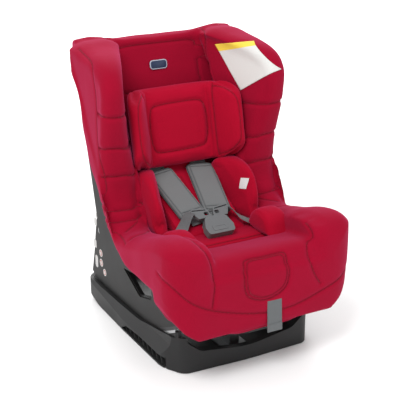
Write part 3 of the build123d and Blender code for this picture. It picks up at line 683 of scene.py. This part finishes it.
EARS = [(-82, -3), (0, -3), (82, -3), (104, -24), (122, -50), (136, -78), (135, -92), (124, -98), (110, -92),
        (96, -72), (82, -46), (66, -36), (0, -36), (-66, -36), (-82, -46), (-96, -72), (-110, -92),
        (-124, -98), (-135, -92), (-136, -78), (-122, -50), (-104, -24)]
PILLOW_LAYERS = [(-2, 7), (3, 1), (12, 0), (44, 0), (84, 0), (124, 0), (156, 0), (166, 1), (172, 7)]
pillow = stacked("pillow", [tuple(p) for p in curve_through(EARS, 4)], PILLOW_LAYERS, None, pillow_place)
head_pillow = fused("head_hugger", [pillow], 2.6, 7)
swell(head_pillow, 3.0, 4.0)
ruck(head_pillow, 1.2, 45)


def on_pillow(u, v, h):
    return tuple(PILLOW_HOME + Vector((u, 0, 0)) + PILLOW_BACK * v + PILLOW_UP * h)


pillow_seams = [
    ([on_pillow(u, -42, h) for u, h in ((-54, 132), (0, 136), (54, 134), (70, 120), (73, 86), (70, 48), (54, 32),
                                         (0, 29), (-54, 30), (-68, 46), (-70, 86), (-66, 120))], 5.2, 4.2, True),
    ([on_pillow(86, -50, h) for h in (4, 60, 110, 168)], 3.6, 2.6, False),
    ([on_pillow(-86, -50, h) for h in (4, 60, 110, 168)], 3.6, 2.6, False),
]
for ear in (-1, 1):
    rim_line = ((86, -52, 162), (106, -86, 156), (120, -100, 134), (124, -102, 84), (120, -100, 34),
                (106, -86, 14), (86, -52, 8))
    pillow_seams.append(([on_pillow(ear * u, v, h) for u, v, h in rim_line], 3.0, 1.6, False))
sew(head_pillow, pillow_seams, "pillow_threads")
padded(head_pillow, SCARLET, "insert_fabric", 0.6, "head_pillow")


# ---- newborn insert ------------------------------------------------------------------------
def soft_block(name, outline, layers, voxel, smooth, cap, node, seams=(), fill=0.6, shape=None):
    """A stuffed block from a side outline, swollen, rucked and sewn."""
    block = stacked(name, [tuple(p) for p in curve_through(outline, 4)], layers, side, shape)
    body = fused(name, [block], voxel, smooth)
    swell(body, 3.5, cap)
    ruck(body, 0.8, 40)
    if seams:
        sew(body, seams, name + "_threads")
    return padded(body, SCARLET, "insert_fabric", fill, node)


WEDGE = [(-38, 236), (-34, 246), (8, 262), (62, 290), (116, 319), (134, 330), (146, 346), (157, 346), (146, 300),
         (130, 240), (100, 232), (20, 233)]
soft_block("insert_wedge", WEDGE, [(-78, 4), (-74, 0), (74, 0), (78, 4)], 3.0, 6, 2.0, "insert_back",
           [([(0, -30, 248), (0, 8, 266), (0, 116, 322)], 4.0, 1.6, False)])
BOLSTER = [(-10, 236), (-14, 268), (-8, 306), (16, 342), (58, 360), (104, 356), (130, 326), (128, 280),
           (118, 236)]
HIP = [(-132, 240), (-130, 264), (-114, 284), (-90, 292), (-64, 288), (-44, 270), (-42, 240)]
for name, way in (("left", -1), ("right", 1)):
    def slant(u, v, h, way=way):
        """Inner face slants from the back out to the thin front edge."""
        lip = (108 if way > 0 else 101) + 0.14 * (v - 261)
        inner = 75 + (lip - 75) * min(max((100 - u) / 95, 0), 1)
        return Vector((way * (inner + ((132 if way > 0 else 124) - inner) * h), u, v)) * MM

    soft_block(f"body_bolster_{name}", BOLSTER, [(0, 10), (0.12, 3), (0.35, 0), (0.65, 0), (0.85, 3), (1, 10)],
               2.8, 9, 4.0, f"insert_bolster_{name}", shape=slant)
    hip = [(y, 240 + (z - 240) * (0.72 if way < 0 else 1.0)) for y, z in HIP]
    soft_block(f"hip_support_{name}", hip, [(way * 80, 12), (way * 87, 3), (way * 100, 0), (way * 122, 0),
                                            (way * 132, 3), (way * 138, 12)], 2.6, 8, 4.0, f"hip_pad_{name}")
SEAT_PAD = [(-96, 226), (-94, 236), (-48, 238), (60, 236), (112, 230), (114, 206), (60, 206), (-40, 214),
            (-84, 218)]
soft_block("insert_seat_pad", SEAT_PAD, [(-112, 5), (-108, 0), (108, 0), (112, 5)], 3.0, 5, 2.0,
           "insert_seat", [([(-108, -90, 236), (0, -92, 238), (108, -90, 236)], 3.0, 1.4, False)])


# ---- shoulder and crotch pads --------------------------------------------------------------
def strap_axes(sign):
    """Middle of a shoulder pad, with its length, width and outward directions."""
    top, bottom = Vector((sign * 50, 117, 332)), Vector((sign * 31, 4, 272))
    along = (bottom - top).normalized()
    out = along.cross(Vector((1, 0, 0))).normalized()
    return (top + bottom) / 2, along, out.cross(along), out


def round_rect(length, width, radius, steps=5):
    corners = []
    for cx, cy, start in ((1, 1, 0), (-1, 1, 90), (-1, -1, 180), (1, -1, 270)):
        for k in range(steps + 1):
            a = math.radians(start + 90 * k / steps)
            corners.append((cx * (length / 2 - radius) + radius * math.cos(a),
                            cy * (width / 2 - radius) + radius * math.sin(a)))
    return corners


def harness_pad(name, home, along, across, out, length, width, node, stitch_at):
    """A flat stitched pad with piping, lying across the directions along and across."""
    def place(u, v, h):
        bow = 3.0 * (1 - (2 * u / length) ** 2)
        return (home + along * u + across * v + out * (h + bow - 1.5)) * MM

    layers = [(-6.5, 3), (-5, 0.6), (0, 0), (4.6, 0.4), (6.6, 2.6), (7.6, 8)]
    pad = fused(name, [stacked(name, round_rect(length, width, 11), layers, None, place)], 1.9, 5)
    ruck(pad, 0.5, 30)
    inner = [place(u, v, 7.0) / MM for u, v in round_rect(length - 9, width - 9, 8, 3)]
    seams = [([tuple(p) for p in inner], 2.0, 0.8, True)]
    for u in stitch_at:
        line = [tuple(place(u, v, 7.4) / MM) for v in (-width / 2 + 7, 0, width / 2 - 7)]
        seams.append((line, 2.4, 1.2, False))
    threads = sew(pad, seams, name + "_threads", 0.45, PIPING_GREY)
    edge = [place(u, v, 0.4) for u, v in round_rect(length + 1, width + 1, 11.5, 6)]
    piping = settle(tube(name + "_piping", edge, 1.7, True), PIPING_GREY, "seat")
    return padded(pad, PAD_GREY, "pad_fabric", 0.5, node), piping


for name, sign in (("left", -1), ("right", 1)):
    home, along, across, out = strap_axes(sign)
    harness_pad(f"strap_pad_{name}", home - along * 3, along, across, out, 148, 63, f"shoulder_pad_{name}",
                (60, -62))
BUCKLE_LEAN = math.radians(33)
BUCKLE_UP = Vector((0, math.cos(BUCKLE_LEAN), math.sin(BUCKLE_LEAN)))
BUCKLE_OUT = Vector((0, -math.sin(BUCKLE_LEAN), math.cos(BUCKLE_LEAN)))
BUCKLE_HOME = Vector((0, -54, 259))
harness_pad("crotch_cushion", BUCKLE_HOME + BUCKLE_UP * 4 - BUCKLE_OUT * 13.6, BUCKLE_UP, Vector((1, 0, 0)),
            BUCKLE_OUT, 33, 53, "crotch_pad", ())


# ---- lap straps ----------------------------------------------------------------------------
def webbing_run(name, stations, width, thickness, node=()):
    """Flat webbing swept through stations of (middle, across direction), in mm."""
    middles = curve_through([m for m, _ in stations], 5, False)
    acrosses = curve_through([a for _, a in stations], 5, False)
    count = len(middles)
    frames = []
    for i in range(count):
        along = Vector(middles[min(i + 1, count - 1)] - middles[max(i - 1, 0)]).normalized()
        across = Vector(acrosses[i])
        across = (across - along * across.dot(along)).normalized()
        frames.append((Vector(middles[i]), across, across.cross(along)))

    def place(u, v, h):
        middle, across, out = frames[int(round(h))]
        return (middle + across * u + out * v) * MM

    half, flat, lip, edge = width / 2, thickness / 2, thickness * 0.2, 0.8
    section = [(-half, -lip), (-half + edge, -flat), (half - edge, -flat), (half, -lip),
               (half, lip), (half - edge, flat), (-half + edge, flat), (-half, lip)]
    strap = stacked(name, section, [(k, 0) for k in range(count)], None, place)
    settle(strap, WEBBING, "seat", smooth=False)
    if node:
        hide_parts(*node)
    return strap


for name, way in (("left", -1), ("right", 1)):
    run = [((way * 46, -14, 285), (0, 1, 0)), ((way * 56, -18, 276), (way * 0.1, 1, 0)),
           ((way * 70, -26, 260), (way * 0.3, 1, 0)), ((way * 88, -40, 250), (way * 0.4, 1, 0)),
           ((way * 108, -48, 240), (way * 0.4, 1, 0)), ((way * 118, -50, 222), (way * 0.3, 1, 0)),
           ((way * 118, -50, 176), (way * 0.3, 1, 0))]
    webbing_run(f"lap_strap_{name}", run, 30, 1.6, node=("lap_straps",) if way < 0 else ())


# ---- labels and badge ----------------------------------------------------------------------
def patch(name, corners, skin_of, lift, thickness, finish, nodes=()):
    """A thin cloth label: a grid stretched between four corners, then dropped square on to the skin."""
    clear_selection()
    bpy.ops.mesh.primitive_grid_add(x_subdivisions=40, y_subdivisions=40, size=1)
    label = bpy.context.object
    label.name = name
    skin = surface(skin_of)
    a, b, c, d = (Vector(p) * MM for p in corners)          # low left, low right, high right, high left
    label.data.uv_layers[0].name = "label"
    facing = (b - a).cross(d - a).normalized()
    for vertex in label.data.vertices:
        u, v = vertex.co.x + 0.5, vertex.co.y + 0.5
        flat = a.lerp(b, u).lerp(d.lerp(c, u), v)
        spot, normal, _, _ = skin.ray_cast(flat + facing * 60 * MM, -facing, 0.12)
        if spot is None:
            spot, normal, _, _ = skin.find_nearest(flat)
        vertex.co = spot + facing * lift * MM
    activate(label)
    ease = label.modifiers.new("ease", "SMOOTH")
    ease.factor, ease.iterations = 0.5, 4
    bpy.ops.object.modifier_apply(modifier="ease")
    wall = label.modifiers.new("wall", "SOLIDIFY")
    wall.thickness, wall.offset = thickness * MM, 1
    bpy.ops.object.modifier_apply(modifier="wall")
    settle(label, finish, "seat")
    flat = (round((b - a).length, 3), round((d - a).length, 3))
    if nodes:
        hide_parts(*nodes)
    return label


patch("wing_notice", [(149, 102, 504), (208, 28, 562), (190, 106, 613), (117, 178, 599)], cover, 0.9, 0.6, LABEL,
      ("wing_label",))
patch("bolster_tag", [(108, 25, 303), (108, 9, 305), (108, 11, 329), (108, 27, 327)],
      bpy.data.objects["body_bolster_right"], 0.6, 0.5, TAG_WHITE, ("size_tag",))


def badge_piece():
    """A blank badge: a pale rim round a navy face."""
    low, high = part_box("badge")
    middle = (low + high) / 2 / MM
    up = Vector((0, 0.19, 1)).normalized()
    out = Vector((0, -1, 0.19)).normalized()

    def place(u, v, h):
        return (middle + Vector((u, 0, 0)) + up * v + out * h) * MM

    rim = stacked("badge_rim", round_rect(43, 21, 7), [(-2.4, 0), (0.2, 0), (1.0, 0.8), (1.0, 1.8), (0.3, 2.2)],
                  None, place)
    face = stacked("badge_face", round_rect(39.4, 17.4, 5.4), [(-2, 0), (0.4, 0), (0.9, 0.9)], None, place)
    settle(rim, BADGE_RIM, "seat")
    settle(face, BADGE_NAVY, "seat")
    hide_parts("badge")


badge_piece()


SKIRT_FACE = -160.05                 # just clear of the left skirt's outer face


def sticker(name, y, z, width, height, radius, lift, finish):
    """A blank sticker on the left skirt."""
    x = SKIRT_FACE

    def place(u, v, h):
        return Vector((x - h, y + u, z + v)) * MM

    dot = stacked(name, round_rect(width, height, radius), [(0, 0), (lift, 0), (lift + 0.1, 0.3)], None, place)
    settle(dot, finish, "seat", smooth=False)


sticker("sticker_top", 232, 216, 10, 12, 2, 0.25, STICKER_PALE)
sticker("sticker_figure", 240, 198, 14, 20, 5, 0.25, STICKER_PALE)
sticker("sticker_large", 246, 141, 15, 20, 4, 0.25, STICKER_PALE)
sticker("sticker_tall", 240, 98, 15, 30, 6, 0.25, STICKER_PALE)
for k, (y, z, size, tone) in enumerate([(215, 184, 19, STICKER_BLUE), (214, 128, 18, STICKER_RED),
                                        (213, 104, 19, STICKER_RED), (195, 86, 17, STICKER_RED)]):
    sticker(f"sticker_ring_{k}", y, z, size, size, size / 2 - 0.05, 0.25, STICKER_PALE)
    sticker(f"sticker_dot_{k}", y, z, size * 0.72, size * 0.72, size * 0.36 - 0.05, 0.45, tone)
    sticker(f"sticker_eye_{k}", y, z, size * 0.48, size * 0.48, size * 0.24 - 0.05, 0.65,
            STICKER_BLUE if k == 0 else STICKER_PALE)


# ---- floor and light -----------------------------------------------------------------------
FLOOR_SIZE = 24.0
SKY_STRENGTH = 0.82
clear_selection()
bpy.ops.mesh.primitive_plane_add(size=FLOOR_SIZE)
floor = bpy.context.object
floor.name = "floor"
paper = Finish("pale_floor")
floor.data.materials.append(paper.close(Base_Color=rgba(0.92, 0.92, 0.92), Roughness=0.8))

world = bpy.data.worlds.new("studio")
bpy.context.scene.world = world
world.use_nodes = True
world.node_tree.nodes["Background"].inputs["Color"].default_value = rgba(1.0, 1.0, 1.0)
world.node_tree.nodes["Background"].inputs["Strength"].default_value = SKY_STRENGTH


def soft_light(name, place, power, size, target=(0, 0, 0.3)):
    data = bpy.data.lights.new(name, "AREA")
    data.energy, data.size = power, size
    lamp = bpy.data.objects.new(name, data)
    bpy.context.collection.objects.link(lamp)
    lamp.location = place
    lamp.rotation_mode = "QUATERNION"
    lamp.rotation_quaternion = (Vector(target) - Vector(place)).to_track_quat("-Z", "Y")


soft_light("key", (-1.5, -1.3, 2.6), 62, 1.2)
soft_light("fill", (1.9, -2.2, 1.3), 10, 1.8)
soft_light("rim", (0.6, 2.0, 2.2), 16, 1.4)
soft_light("backdrop", (1.6, 4.4, 3.2), 170, 3.0, (1.6, 4.6, 0))
